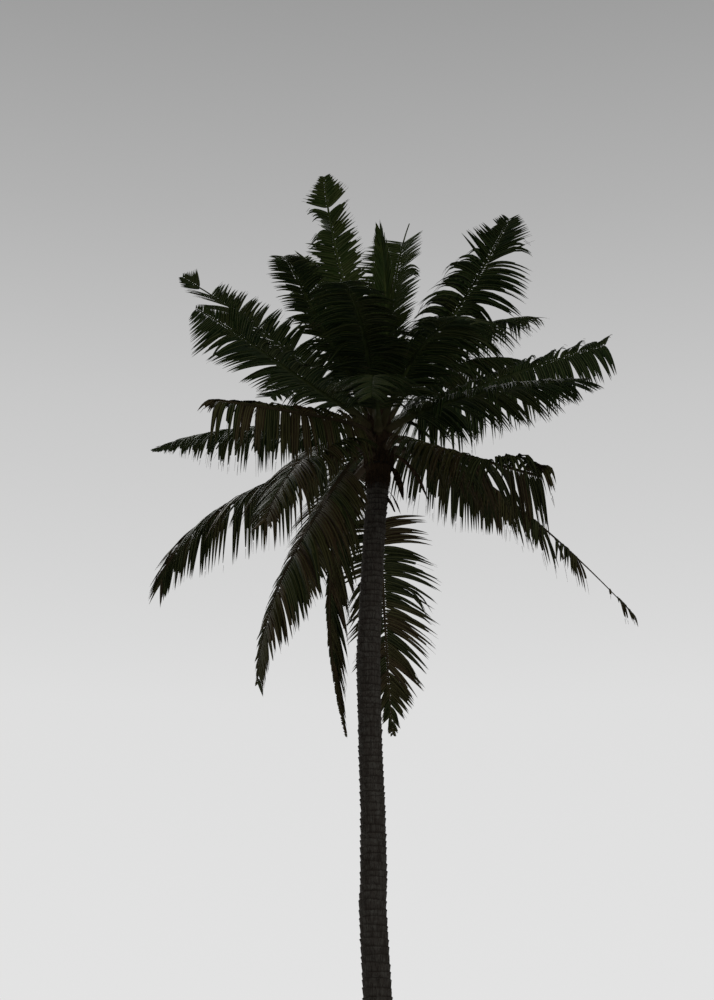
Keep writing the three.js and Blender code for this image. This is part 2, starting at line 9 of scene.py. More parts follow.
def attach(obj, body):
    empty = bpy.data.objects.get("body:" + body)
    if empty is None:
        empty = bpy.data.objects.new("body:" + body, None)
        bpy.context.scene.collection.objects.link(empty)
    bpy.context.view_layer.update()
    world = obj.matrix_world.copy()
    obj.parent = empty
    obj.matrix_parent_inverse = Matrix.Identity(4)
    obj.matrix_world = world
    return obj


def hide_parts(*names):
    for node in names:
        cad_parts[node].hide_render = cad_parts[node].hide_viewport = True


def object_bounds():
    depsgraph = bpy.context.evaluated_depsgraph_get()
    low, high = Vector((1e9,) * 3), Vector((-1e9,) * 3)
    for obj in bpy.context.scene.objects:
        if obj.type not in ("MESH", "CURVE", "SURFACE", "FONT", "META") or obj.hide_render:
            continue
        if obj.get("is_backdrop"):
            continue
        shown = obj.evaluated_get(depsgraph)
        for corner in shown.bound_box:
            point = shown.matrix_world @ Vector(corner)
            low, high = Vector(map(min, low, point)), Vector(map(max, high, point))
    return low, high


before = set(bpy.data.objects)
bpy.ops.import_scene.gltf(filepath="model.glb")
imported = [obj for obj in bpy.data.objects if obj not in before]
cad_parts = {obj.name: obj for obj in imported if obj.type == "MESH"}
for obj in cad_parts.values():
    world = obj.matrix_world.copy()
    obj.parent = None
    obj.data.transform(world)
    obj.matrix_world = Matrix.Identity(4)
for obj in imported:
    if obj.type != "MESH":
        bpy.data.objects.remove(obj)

CAD_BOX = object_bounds()


# The trunk: one slim stem that leans and bends a little, with a swollen foot cut flat at the ground.
# Every shed frond has left a slanting scar round it, and the hard grey bark has split lengthwise.
# It grows thinner inside the crown, where the feet of the fronds hide it.
TRUNK = [  # height, sideways lean and radius at each place where the line of the trunk changes
    (0.0, 0.0, 0.310), (0.09, 0.0, 0.282), (0.26, -0.002, 0.248), (0.55, -0.005, 0.224),
    (1.0, -0.012, 0.211), (1.8, -0.027, 0.205), (2.9, -0.055, 0.201), (4.1, -0.084, 0.198),
    (5.3, -0.148, 0.190), (5.6, -0.130, 0.188), (6.6, -0.138, 0.174), (7.5, -0.172, 0.169),
    (8.8, -0.198, 0.172), (9.9, -0.150, 0.163), (10.9, -0.092, 0.159), (11.5, -0.042, 0.167),
    (11.8, -0.036, 0.170), (12.1, -0.035, 0.165), (12.4, -0.035, 0.140), (12.75, -0.035, 0.080),
    (12.95, -0.035, 0.026),
]
TRUNK_SIDES = 80
FIRST_SCAR = 0.20
LAST_SCAR = 12.0
SCAR_PITCH = (0.125, 0.085)  # between two scars, at the foot and under the crown
PITCH_VARY = (0.82, 1.18)
SCAR_TILT = 0.016
TILT_VARY = (0.4, 1.2)
SCAR_TURN = math.radians(137.5)  # from one shed frond to the next, round the trunk
SCAR_PROFILE = [  # share of the way to the next scar, and how far the bark stands out there
    (0.0, 0.008), (0.09, 0.002), (0.17, -0.006), (0.32, -0.005), (0.55, -0.001), (0.78, 0.001),
    (0.93, 0.004),
]
# The bark is uneven in three ways. round and up say how fast each changes, in noise units to the metre.
CHIPS = dict(round=2.2, up=9, shift=0, depth=0.006, on_scars=0.9)
CRACKS = dict(round=7, up=0.9, shift=40, depth=0.005, width=0.09)
LUMPS = dict(round=5, up=4, shift=0, depth=0.012, top=0.5)  # old root stubs in the lowest bark
SMOOTH_FOOT = 0.06  # height in which the relief sets in
SMOOTH_TIP = 0.4


def mix(a, b, share):
    return a + (b - a) * share


def trunk_at(height):
    """Lean and radius of the trunk at a height."""
    heights, leans, radii = zip(*TRUNK)
    return np.interp(height, heights, leans), np.interp(height, heights, radii)


def scar_heights(random):
    heights = [0.0, FIRST_SCAR]
    while heights[-1] < LAST_SCAR:
        pitch = mix(*SCAR_PITCH, heights[-1] / LAST_SCAR)
        heights.append(heights[-1] + pitch * random.uniform(*PITCH_VARY))
    top = TRUNK[-1][0]
    rest = math.ceil((top - heights[-1]) / SCAR_PITCH[1])
    return heights + [mix(heights[-1], top, (step + 1) / rest) for step in range(rest)]


def add_object(name, data):
    """Puts a mesh, a lamp or a camera into the scene."""
    made = bpy.data.objects.new(name, data)
    bpy.context.scene.collection.objects.link(made)
    return made


def link_piece(name, mesh, slot, nodes, *materials):
    """Makes a mesh one piece of the palm, standing for the CAD nodes that it replaces."""
    for material in materials:
        mesh.materials.append(material)
    piece = add_object(name, mesh)
    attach(piece, "root")
    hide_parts(*nodes)


def smooth_mesh(name, bm):
    """The mesh of a finished bmesh."""
    mesh = bpy.data.meshes.new(name)
    bm.to_mesh(mesh)
    bm.free()
    mesh.shade_smooth()
    return mesh


def bark_noise(kind, around, height):
    turn = around * kind["round"]
    return noise.noise(Vector((turn.x, turn.y, height * kind["up"] + kind["shift"])))


def model_trunk():
    random = np.random.default_rng(11)
    scars = scar_heights(random)
    turns = np.arange(len(scars)) * SCAR_TURN
    tilts = SCAR_TILT * random.uniform(*TILT_VARY, len(scars))
    tilts[0] = 0.0
    tilts[-1] = 0.0
    rings = (len(scars) - 1) * len(SCAR_PROFILE)
    bm = bmesh.new()
    bmesh.ops.create_cone(bm, cap_ends=True, segments=TRUNK_SIDES, radius1=1, radius2=1, depth=rings)
    upright = [edge for edge in bm.edges if abs(edge.verts[0].co.z - edge.verts[1].co.z) > 0.5]
    bmesh.ops.subdivide_edges(bm, edges=upright, cuts=rings - 1, use_grid_fill=True)
    internode = bm.verts.layers.float.new("internode")
    for vert in bm.verts:
        ring = round(vert.co.z + rings / 2)
        turn = math.atan2(vert.co.y, vert.co.x)
        scar = min(ring // len(SCAR_PROFILE), len(scars) - 2)
        share, relief = SCAR_PROFILE[ring % len(SCAR_PROFILE)] if ring < rings else (1.0, 0.0)
        low = scars[scar] + tilts[scar] * math.cos(turn - turns[scar])
        high = scars[scar + 1] + tilts[scar + 1] * math.cos(turn - turns[scar + 1])
        height = mix(low, high, share)
        lean, radius = trunk_at(height)
        around = Vector((math.cos(turn), math.sin(turn), 0))
        chips = bark_noise(CHIPS, around, height)
        crack = CRACKS["depth"] * max(0.0, 1 - abs(bark_noise(CRACKS, around, height)) / CRACKS["width"])
        lumps = LUMPS["depth"] * max(0.0, 1 - height / LUMPS["top"]) * bark_noise(LUMPS, around, height)
        fade = min(1.0, height / SMOOTH_FOOT) * min(1.0, (TRUNK[-1][0] - height) / SMOOTH_TIP)
        relief = relief * (1 + CHIPS["on_scars"] * chips) - crack + CHIPS["depth"] * chips
        vert.co = Vector((lean, 0, height)) + around * (radius + fade * relief + lumps)
        vert[internode] = scar + share
    return smooth_mesh("trunk_bark", bm)


def feed(tree, socket, value):
    """Gives a socket a number or a colour, or links another node's socket to it."""
    if isinstance(value, bpy.types.NodeSocket):
        tree.links.new(value, socket)
    else:
        socket.default_value = (*value, 1) if isinstance(value, tuple) else value


def new_node(tree, kind, inputs=None, **settings):
    """Adds a shader node of a kind to a tree, feeds its sockets and returns its outputs."""
    made = tree.nodes.new(f"ShaderNode{kind}")
    for name, value in settings.items():
        setattr(made, name, value)
    for name, value in (inputs or {}).items():
        feed(tree, made.inputs[name], value)
    return made.outputs


def calculate(tree, operation, *values):
    return new_node(tree, "Math", dict(enumerate(values)), operation=operation)[0]


def carry_over(tree, value, span, target=(0.0, 1.0)):
    """Carries a value that runs over a span to the two ends of a target."""
    ends = zip(("From Min", "From Max", "To Min", "To Max"), (*span, *target))
    return new_node(tree, "MapRange", {"Value": value, **dict(ends)})[0]


def new_material(name):
    """A material, its node tree, and the coordinates that its nodes can use."""
    material = bpy.data.materials.new(name)
    material.use_nodes = True
    return material, material.node_tree, new_node(material.node_tree, "TexCoord")


def mix_colours(tree, colour, *layers):
    """A colour over which each layer's mask lays the layer's own colour."""
    for mask, top in layers:
        colour = new_node(tree, "Mix", {"Factor": mask, 6: colour, 7: top}, data_type="RGBA")[2]
    return colour


def new_group(name, numbers, results):
    """An empty node group that takes a vector and numbers, and its given and result sockets."""
    tree = bpy.data.node_groups.new(name, "ShaderNodeTree")
    tree.interface.new_socket("Vector", in_out="INPUT", socket_type="NodeSocketVector")
    for socket, value in numbers.items():
        made = tree.interface.new_socket(socket, in_out="INPUT", socket_type="NodeSocketFloat")
        made.default_value = value
    for socket in results:
        tree.interface.new_socket(socket, in_out="OUTPUT", socket_type="NodeSocketFloat")
    return tree, tree.nodes.new("NodeGroupInput").outputs, tree.nodes.new("NodeGroupOutput").inputs


def blotch_mask_group():
    """Blotches of wear, dust and age, and of painted shade on leaves, ribs and husks. Size is a blotch's
    width in metres.
    """
    tree, given, result = new_group("blotch_mask", {"Size": 0.3, "Cover": 0.5}, ["Mask"])
    scale = calculate(tree, "DIVIDE", 1.0, given["Size"])
    sockets = {"Vector": given["Vector"], "Scale": scale, "Detail": 5.0, "Roughness": 0.62}
    blotches = new_node(tree, "TexNoise", sockets)[0]
    low = calculate(tree, "SUBTRACT", 0.72, given["Cover"])
    high = calculate(tree, "ADD", low, 0.25)
    feed(tree, result["Mask"], carry_over(tree, blotches, (low, high)))
    return tree


def long_grain_group():
    """Streaks that run one way. Across and Along are streaks to the metre in the vector's X and Z."""
    tree, given, result = new_group("long_grain", {"Across": 60.0, "Along": 4.0}, ["Height", "Lines"])
    across = given["Across"]
    scale = new_node(tree, "CombineXYZ", {"X": across, "Y": across, "Z": given["Along"]})[0]
    stretched = new_node(tree, "VectorMath", {0: given["Vector"], 1: scale}, operation="MULTIPLY")[0]
    sockets = {"Vector": stretched, "Scale": 1.0, "Detail": 4.0, "Roughness": 0.6}
    streaks = new_node(tree, "TexNoise", sockets)[0]
    ridge = calculate(tree, "ABSOLUTE", calculate(tree, "SUBTRACT", streaks, 0.5))
    feed(tree, result["Height"], streaks)
    feed(tree, result["Lines"], carry_over(tree, ridge, (0.0, 0.045), (1.0, 0.0)))
    return tree


BLOTCH_MASK = blotch_mask_group()
LONG_GRAIN = long_grain_group()


def blotch_mask(tree, vector, size, cover):
    sockets = {"Vector": vector, "Size": size, "Cover": cover}
    return new_node(tree, "Group", sockets, node_tree=BLOTCH_MASK)["Mask"]


def long_grain(tree, vector, across, along):
    sockets = {"Vector": vector, "Across": across, "Along": along}
    grain = new_node(tree, "Group", sockets, node_tree=LONG_GRAIN)
    return grain["Height"], grain["Lines"]


def dress(material, colour, roughness, relief, specular, strength, depth):
    """Gives a material its colour, its gloss, and the fine relief that is too small to model."""
    tree = material.node_tree
    bump = new_node(tree, "Bump", {"Strength": strength, "Distance": depth, "Height": relief})[0]
    given = {
        "Base Color": colour, "Roughness": roughness, "Specular IOR Level": specular, "Normal": bump,
    }
    for name, value in given.items():
        feed(tree, tree.nodes["Principled BSDF"].inputs[name], value)
    return material


def bark_material():
    material, tree, coords = new_material("grey_ringed_bark")
    place = coords["Object"]
    height, cracks = long_grain(tree, place, 34.0, 1.7)
    wear_and_shade = blotch_mask(tree, place, 0.35, 0.5)
    lichen = blotch_mask(tree, place, 0.09, 0.28)
    kept = blotch_mask(tree, place, 0.16, 0.42)
    between = new_node(tree, "Attribute", attribute_name="internode")["Fac"]
    rim = carry_over(tree, calculate(tree, "FRACT", between), (0.06, 0.34), (0.8, 0.0))
    scars = calculate(tree, "MULTIPLY", rim, kept)
    shown = mix_colours(
        tree, (0.070, 0.057, 0.046), (wear_and_shade, (0.116, 0.101, 0.085)), (lichen, (0.185, 0.176, 0.153)),
        (scars, (0.058, 0.044, 0.034)), (cracks, (0.040, 0.030, 0.023)),
    )
    rough = carry_over(tree, height, (0.0, 1.0), (0.74, 0.97))
    return dress(material, shown, rough, height, specular=0.25, strength=0.7, depth=0.006)


link_piece("trunk_bark", model_trunk(), "bark", ["trunk"], bark_material())


# The stalks and ribs of the fronds: each is a stiff stem with a channel on top and a round keel, broad
# where its foot clasps the trunk, rising and then arching down as it thins towards its tip.
# Old ribs turn from green to tan and brown, and two have snapped off short.
FOOT_BEND = 0.25  # length in which a rib turns from its foot's slope to its own
RIB_STEPS = 120
RIB = dict(
    width=0.068, height=0.052, foot_height=0.110, foot_share=0.90, taper=0.80, flare=0.42, flare_power=1.5,
)
RIB_SECTION = [  # sideways and upwards, as shares of the width and height
    (-0.50, 0.33), (-0.28, 0.16), (0.0, 0.08), (0.28, 0.16), (0.50, 0.33),
    (0.53, 0.02), (0.37, -0.36), (0.0, -0.64), (-0.37, -0.36), (-0.53, 0.02),
]
NEAR_RINGS = (0.0, 0.03, 0.07, 0.12, 0.18, 0.26, 0.35)  # distances of the rings at the broad foot
RIB_RING_STEP = 0.085
RIB_TIP = 0.3  # the last ring of a whole rib against the one before
FOOT_INSET = 0.05  # how far a foot sinks into the trunk
# Angles are in degrees. heading is seen from above, foot, rise and tip are the slope of the rib where
# it leaves the trunk, past its foot and at its end, and bend is how late it changes on the way. sweep
# turns it sideways and rolls tips it over, as pairs of a share of its length and an angle. stalk is its
# bare length. droop is how far the leaflets fall, leaf the longest of them, foot_leaf and tip_leaf the
# shares of it that the first and last ones have, and sides the shares on its two sides. lift raises them
# off the blade and spread is their angle to the rib. snap is the share left of a broken frond. bare
# lists stretches that have lost their leaflets, frayed and lost are the shares of leaflets with torn
# ends and missing, and cling is how much the others stick together. tuft is where a tuft at the end
# starts, and for each side the length of its first leaflets and the angle of all of them. halves says
# that the frond is two nodes of the frame.
GREEN = dict(
    age="green", foot=35, sweep=0, bend=1.3, rolls=[(0, 0)], stalk=0.60, droop=0.8, leaf=0.85,
    foot_leaf=0.7, tip_leaf=0.35, sides=(1, 1), lift=12, spread=72, tip_spread=38, snap=1, bare=[],
    frayed=0.12, lost=0.02, cling=1, tuft=None, halves=False,
)
YOUNG = dict(GREEN, age="young", foot=60, frayed=0.06, lost=0.01, cling=0.35)
OLD = dict(GREEN, age="old", foot=25, lift=10, frayed=0.3, lost=0.04)
FRONDS = [
    dict(YOUNG, name="spear", heading=321, height=12.9, length=2.78, foot=75, rise=80, tip=100, sweep=-14,
         bend=0.8, droop=0.05, leaf=0.78, foot_leaf=1, sides=(0.75, 1.1), lift=22, spread=27,
         tip_spread=10),
    dict(YOUNG, name="young_right", heading=56, height=12.72, length=3.7, rise=86, tip=60, sweep=6,
         bend=1.9, droop=0.2, leaf=0.68, sides=(0.8, 1.18), lift=16, tip_spread=72, snap=0.94,
         bare=[(0.87, 1)]),
    dict(YOUNG, name="crest", heading=235, height=12.7, length=3.66, rise=68, tip=86, sweep=-30, bend=2.2,
         rolls=[(0.7, -50), (0.77, -5), (0.84, -60)], droop=0.15, leaf=0.54, tip_leaf=0.42,
         sides=(0.92, 0.88), lift=16, tip_spread=42, snap=0.86, bare=[(0.835, 0.86)], frayed=0.7,
         tuft=(0.86, (0.44, 0.5), (62, 46))),
    dict(YOUNG, name="back_steep", heading=126, height=12.62, length=3.95, rise=72, tip=48, droop=0.5,
         leaf=0.66),
    dict(YOUNG, name="left_steep", heading=140, height=12.53, length=3.6, foot=45, rise=64, tip=40,
         sweep=-19, bend=2.5, droop=0.5, leaf=0.46, lift=16, frayed=0.3),
    dict(GREEN, name="upper_right", heading=313, height=12.56, length=4.06, foot=45, rise=28, tip=6,
         sweep=-31, bend=2.1, droop=1.3, leaf=0.93, sides=(1.1, 0.95), lift=16, tip_spread=50, frayed=0.3,
         tuft=(0.75, (0.68, 0.76), (52, 46))),
    dict(GREEN, name="upper_left", heading=230, height=12.54, length=4.22, foot=45, rise=31, tip=-44,
         sweep=40, bend=2.5, droop=0.6, leaf=0.55, sides=(0.8, 1), lift=16, halves=True),
    dict(GREEN, name="right_back", heading=38, height=12.49, length=3.9, foot=45, rise=67, tip=15,
         sweep=-5, bend=1.1, droop=1.8, leaf=1.1, frayed=0.4),
    dict(GREEN, name="left_lifted", heading=168, height=12.4, length=4.28, foot=45, rise=52, tip=37,
         sweep=-9, bend=0.8, rolls=[(0, 50), (0.84, 34), (0.9, 90)], droop=0.3, sides=(0.9, 1), lift=16,
         tip_spread=58, bare=[(0.84, 0.9)], frayed=0.35, tuft=(0.9, (0.34, 0.36), (52, 26))),
    dict(GREEN, name="front_left", heading=262, height=12.42, length=4.12, foot=40, rise=31, tip=-30,
         droop=0.9, leaf=0.8, tip_spread=62, halves=True),
    dict(GREEN, name="back_left", heading=120, height=12.4, length=3.95, foot=40, rise=46, tip=4,
         droop=0.7, leaf=0.8),
    dict(GREEN, name="right_level", heading=20, height=12.35, length=3.85, rise=37, tip=16, sweep=-22,
         bend=0.8, rolls=[(0, 28)], droop=1.7, leaf=1.05, foot_leaf=1, tip_leaf=0.6, sides=(0.5, 1),
         lift=25, tip_spread=56),
    dict(GREEN, name="front_right", heading=288, height=12.3, length=4.2, foot=40, rise=24, tip=-36,
         droop=0.7, halves=True),
    dict(GREEN, name="right_mid", heading=40, height=12.185, length=4.0, rise=66, tip=-4, droop=2.2,
         leaf=0.95),
    dict(GREEN, name="back_right", heading=68, height=12.3, length=4.3, rise=40, tip=0, droop=1.9,
         leaf=1.0, foot_leaf=0.9),
    dict(GREEN, name="left_front", heading=217, height=12.29, length=3.95, foot=40, rise=13, tip=-10,
         sweep=28, bend=2.5, rolls=[(0.6, 0), (0.78, -50)], droop=0.7, leaf=0.72, lift=10,
         tuft=(0.78, (0.66, 0.3), (74, 55))),
    dict(GREEN, name="left_level", heading=151, height=12.23, length=3.9, rise=15, tip=-14, sweep=7,
         bend=1.9, droop=1.9, leaf=0.8, foot_leaf=1, tip_leaf=0.06, lift=10, frayed=0.6),
    dict(GREEN, name="right_front", heading=322, height=12.26, length=3.5, foot=30, rise=6, tip=-16,
         droop=1.2, foot_leaf=1, stalk=0.5),
    dict(GREEN, name="front_low", heading=268, height=12.2, length=4.1, foot=30, rise=6, tip=-46),
    dict(GREEN, name="back_mid", heading=97, height=12.15, length=4.2, rise=26, tip=-14),
    dict(OLD, name="left_snapped", heading=245, height=12.08, length=3.46, foot=30, rise=-14, tip=-8,
         sweep=-28, bend=1, rolls=[(0.7, 70), (1, 40)], droop=1.8, leaf=0.7, sides=(0.6, 1.45), lift=18,
         tip_spread=20, stalk=0.4, snap=0.62),
    dict(OLD, name="right_frayed", heading=334, height=12.09, length=4.8, rise=-33, tip=-52, sweep=8,
         bend=0.8, droop=2.3, leaf=0.86, foot_leaf=1, tip_spread=92, stalk=0.3,
         bare=[(0.5, 0.545), (0.62, 0.7), (0.77, 0.94)], frayed=0.5),
    dict(OLD, name="left_arching", heading=145, height=12.05, length=4.37, rise=-10, tip=-75, sweep=9,
         bend=3.6, droop=2, leaf=1.12, tip_leaf=0.36, lift=5, tip_spread=28, halves=True),
    dict(OLD, name="right_low", heading=40, height=12.05, length=2.5, rise=0, tip=-35, droop=2, leaf=0.95,
         foot_leaf=1, tip_leaf=0.4, stalk=0.2),
    dict(OLD, name="right_snapped", heading=302, height=11.98, length=3.72, rise=-27.5, tip=-27, sweep=11,
         bend=0.8, rolls=[(0.72, 15), (0.82, 75), (1, 60)], droop=2.6, leaf=0.95, tip_spread=78, stalk=0.4,
         snap=0.62),
    dict(OLD, name="back_low", heading=107, height=11.96, length=4.35, rise=5, tip=-40, droop=1.2,
         leaf=0.9, stalk=0.8),
    dict(OLD, name="left_low", heading=240, height=11.94, length=3.7, foot=20, rise=-16, tip=-64,
         droop=1.2, leaf=0.9, halves=True),
    dict(OLD, name="left_hanging", heading=239, height=11.85, length=4.7, foot=20, rise=-53, tip=-91,
         sweep=-40, bend=2.5, rolls=[(0, 15)], droop=1.6, leaf=0.8, tip_leaf=0.25, sides=(0.4, 1.4),
         lift=5, stalk=0.9),
    dict(OLD, name="back_hanging", heading=129.5, height=11.79, length=4.6, foot=20, rise=-42, tip=-66,
         sweep=-71.5, bend=0.8, droop=1.2, leaf=0.9, foot_leaf=1, tip_leaf=0.08, sides=(1, 0.14), lift=5,
         spread=43, tip_spread=8, stalk=0.9),
    dict(OLD, name="right_hanging", heading=89, height=11.71, length=4.6, foot=20, rise=-37, tip=-62,
         sweep=-8, bend=0.8, droop=0.6, leaf=0.9, tip_leaf=0.08, sides=(1.05, 0.9), lift=16, spread=102,
         tip_spread=24, stalk=1.02),
]


def unit(vectors):
    return vectors / np.linalg.norm(vectors, axis=-1, keepdims=True)


def rib_line(frond):
    """Points, directions and blade axes of a rib at even steps from its foot to its tip."""
    share = np.linspace(0, 1, RIB_STEPS + 1)
    lean, radius = trunk_at(frond["height"])
    settle = (frond["foot"] - frond["rise"]) * np.exp(-share * frond["length"] / FOOT_BEND)
    slope = np.radians(frond["rise"] + (frond["tip"] - frond["rise"]) * share ** frond["bend"] + settle)
    turn = np.radians(frond["heading"] + frond["sweep"] * share)
    along = np.stack([np.cos(slope) * np.cos(turn), np.cos(slope) * np.sin(turn), np.sin(slope)], axis=1)
    flat = np.stack([np.sin(turn), -np.cos(turn), np.zeros_like(turn)], axis=1)
    roll = np.radians(np.interp(share, *zip(*frond["rolls"])))[:, None]
    side = flat * np.cos(roll) + np.cross(flat, along) * np.sin(roll)
    heading = math.radians(frond["heading"])
    foot = np.array([lean + radius * math.cos(heading), radius * math.sin(heading), frond["height"]])
    steps = along[:-1] * frond["length"] / RIB_STEPS
    points = foot + np.vstack([np.zeros(3), np.cumsum(steps, axis=0)])
    return {"point": points, "along": along, "side": side, "up": np.cross(side, along)}


def rib_at(frond, share):
    """A rib's place and axes at shares of its length."""
    marks = np.linspace(0, 1, RIB_STEPS + 1)
    found = {
        key: np.stack([np.interp(share, marks, values[:, axis]) for axis in range(3)], axis=-1)
        for key, values in rib_line(frond).items()
    }
    for key in ("along", "side", "up"):
        found[key] = unit(found[key])
    return found


def rib_size(frond, distance):
    """Width and height of a frond's rib at distances from its foot."""
    slim = 1 - RIB["taper"] * distance * frond["snap"] / frond["length"]
    flare = np.exp(-(distance / RIB["flare"]) ** RIB["flare_power"])
    foot_width = RIB["foot_share"] * trunk_at(frond["height"])[1]
    width = RIB["width"] * slim + (foot_width - RIB["width"]) * flare
    height = RIB["height"] * slim + (RIB["foot_height"] - RIB["height"]) * flare
    return width, height


def rings_along(frond, distance, section, width, height):
    """A section's rings at distances from a rib's foot. Below the foot they go straight on."""
    axes = rib_at(frond, distance / frond["length"])
    centre = axes["point"] + axes["along"] * np.minimum(distance, 0)[:, None]
    return (
        centre[:, None]
        + axes["side"][:, None] * (section[..., 0] * width[:, None])[..., None]
        + axes["up"][:, None] * (section[..., 1] * height[:, None])[..., None]
    )


def rib_rings(frond):
    near = np.array([-FOOT_INSET, *NEAR_RINGS])
    count = math.ceil((frond["length"] - near[-1]) / RIB_RING_STEP)
    distance = np.append(near, np.linspace(near[-1], frond["length"], count + 1)[1:])
    width, height = rib_size(frond, np.maximum(distance, 0))
    if frond["snap"] == 1:
        width[-1] *= RIB_TIP
        height[-1] *= RIB_TIP
    return rings_along(frond, distance, np.array(RIB_SECTION), width, height), distance


def frond_nodes(age):
    """The names of the CAD nodes of the fronds of an age."""
    names = []
    for frond in FRONDS:
        if frond["age"] == age:
            halves = ("_near_half", "_far_half") if frond["halves"] else ("",)
            names += [f"frond_{frond['name']}{half}" for half in halves]
    return names


def sweep(bm, rings, marks, layer):
    """Extrudes a closed skin from ring to ring of points, and marks each ring with its distance."""
    made = bmesh.ops.create_circle(bm, segments=len(rings[0]), radius=1, cap_ends=True)
    face = made["verts"][0].link_faces[0]
    for index, ring in enumerate(rings):
        if index:
            grown = bmesh.ops.extrude_face_region(bm, geom=[face])["geom"]
            face = next(item for item in grown if isinstance(item, bmesh.types.BMFace))
        for vert, point in zip(face.verts, ring):
            vert.co = point
            vert[layer] = marks[index]


def model_swept(name, parts):
    """One mesh from the rings and distances of several parts."""
    bm = bmesh.new()
    layer = bm.verts.layers.float.new("from_foot")
    for rings, distance in parts:
        sweep(bm, rings, distance, layer)
    bmesh.ops.recalc_face_normals(bm, faces=bm.faces)
    return smooth_mesh(name, bm)


def rib_material(age, sunlit_tone, shaded, foot):
    material, tree, coords = new_material(f"rib_{age}")
    height, streaks = long_grain(tree, coords["Object"], 90.0, 12.0)
    wear_and_shade = blotch_mask(tree, coords["Object"], 0.3, 0.45)
    from_foot = new_node(tree, "Attribute", attribute_name="from_foot")["Fac"]
    near_foot = carry_over(tree, from_foot, (0.12, 0.75), (1.0, 0.0))
    # The shaded colour laid in blotches and along the streaks is painted shade; the browner foot is the
    # rib's own colour.
    shown = mix_colours(tree, sunlit_tone, (wear_and_shade, shaded), (near_foot, foot), (streaks, shaded))
    rough = carry_over(tree, wear_and_shade, (0.0, 1.0), (0.50, 0.75))
    return dress(material, shown, rough, height, specular=0.3, strength=0.35, depth=0.002)


RIB_COLOURS = {  # sunlit, shaded and foot
    "young": ((0.175, 0.215, 0.045), (0.085, 0.120, 0.028), (0.150, 0.125, 0.050)),
    "green": ((0.130, 0.160, 0.040), (0.060, 0.085, 0.022), (0.130, 0.098, 0.048)),
    "old": ((0.165, 0.125, 0.050), (0.080, 0.058, 0.028), (0.110, 0.075, 0.042)),
}
for age, colours in RIB_COLOURS.items():
    ribs = model_swept(f"ribs_{age}", [rib_rings(frond) for frond in FRONDS if frond["age"] == age])
    link_piece(f"ribs_{age}", ribs, f"{age}_frond", frond_nodes(age), rib_material(age, *colours))


# The leaflets: long narrow blades folded like a roof along their midribs, in one row down each side of
# every rib. They stand off the rib in its upper part and fall under their own weight further out.
# Wind has torn and split many of them, and left the bare midribs of some as stiff threads.
LEAFLET_PITCH = 0.038
LEAFLET = dict(width=0.052, thick=0.005, fold=0.24, fall=1.1, fall_power=0.8)
LEAFLET_SEAT = (0.40, 0.16)  # sideways and up from the rib's middle, as shares of its width and height
BLADE_STATIONS = np.array([0.0, 0.03, 0.11, 0.24, 0.40, 0.56, 0.72, 0.87, 1.0])
BLADE_WIDTHS = np.array([0.46, 0.80, 1.03, 1.10, 1.03, 0.88, 0.64, 0.33, 0.02])
NARROWEST = 0.7  # width of the shortest leaflets against the longest ones
THIN_END = 0.2  # thickness left at a leaflet's end
FULL_LENGTH = (0.25, 0.5)  # the stretch of the leafy part with the longest leaflets
TIP_POWER = 1.3
CLUMP_SIZES = (2, 8)  # neighbouring leaflets that stick together, from two to seven
SPRAY = 6  # neighbouring leaflets of one tint
TINTS_DEALT = 200  # for each side of a frond, more than it has sprays
FROND_SEED = 200
JITTER = dict(  # ranges of what differs from leaflet to leaflet, or from clump to clump
    place=(0.3, 0.7), cling=(0.25, 0.85), length=(0.92, 1.04), droop=(0.85, 1.2), torn_at=(0.55, 0.92),
    bend_at=(0.35, 0.8), bend_apart=(-0.04, 0.04),
)
STRAY_ANGLE = (2.8, 5.6)  # degrees by which a leaflet strays alone, and with its clump
STRAY_LIFT = (1.75, 5.0)
TWIST = np.array([[7], [16]])  # degrees at a leaflet's foot, and more at its end
BENT = (0.05, 0.15)  # share of the clumps that are bent over on a whole frond, and more on a frayed one
UNBENT = 2.0  # a bend's place when there is none, past the leaflet's end
BEND_LENGTH = 0.4  # share of a leaflet over which it bends
BENT_DOWN = 0.75
BENT_LOSS = 0.3  # how much of its own way a bent end loses
BARE_LOST = 0.97  # share of a bare stretch's leaflets that are gone
TUFT = dict(end=0.2, stray=0.05, droop=0.2, torn_at=0.8)
THREAD_WIDTH = 0.006
THREAD_OVERLAP = 0.02  # share of a leaflet that its thread reaches back into the blade
THREAD_STATIONS = np.array([0.0, 0.35, 0.7, 1.0])
THREAD_WIDTHS = np.array([1.0, 0.8, 0.6, 0.3])
VEIN_SHIFT = 0.37  # between the vein patterns of two neighbours


def leaf_share(frond, leafy):
    """Share of the longest leaflet's length at shares of the leafy part."""
    start, end = FULL_LENGTH
    foot = mix(frond["foot_leaf"], 1, np.minimum(1, leafy / start))
    return foot * mix(1, frond["tip_leaf"], np.maximum(0, (leafy - end) / (1 - end)) ** TIP_POWER)


def in_bare_stretch(frond, share):
    bare = np.zeros(len(share), bool)
    for start, end in frond["bare"]:
        bare |= (share > start) & (share < end)
    return bare


def deal_clumps(pairs, random):
    """The clump that each leaflet clings to, and how many leaflets it stands beyond its middle."""
    sizes = random.integers(*CLUMP_SIZES, pairs)
    clump = np.repeat(np.arange(pairs), sizes)[:pairs]
    place = np.arange(pairs)
    middle = np.array([place[clump == mine].mean() for mine in clump])
    return clump, place - middle


def stray(random, clump, cling, reach):
    """Angles by which leaflets stray, each one alone and all of a clump together."""
    alone, shared = random.uniform(-1, 1, (2, len(clump)))
    return np.radians(reach[0] * alone + reach[1] * cling * shared[clump])


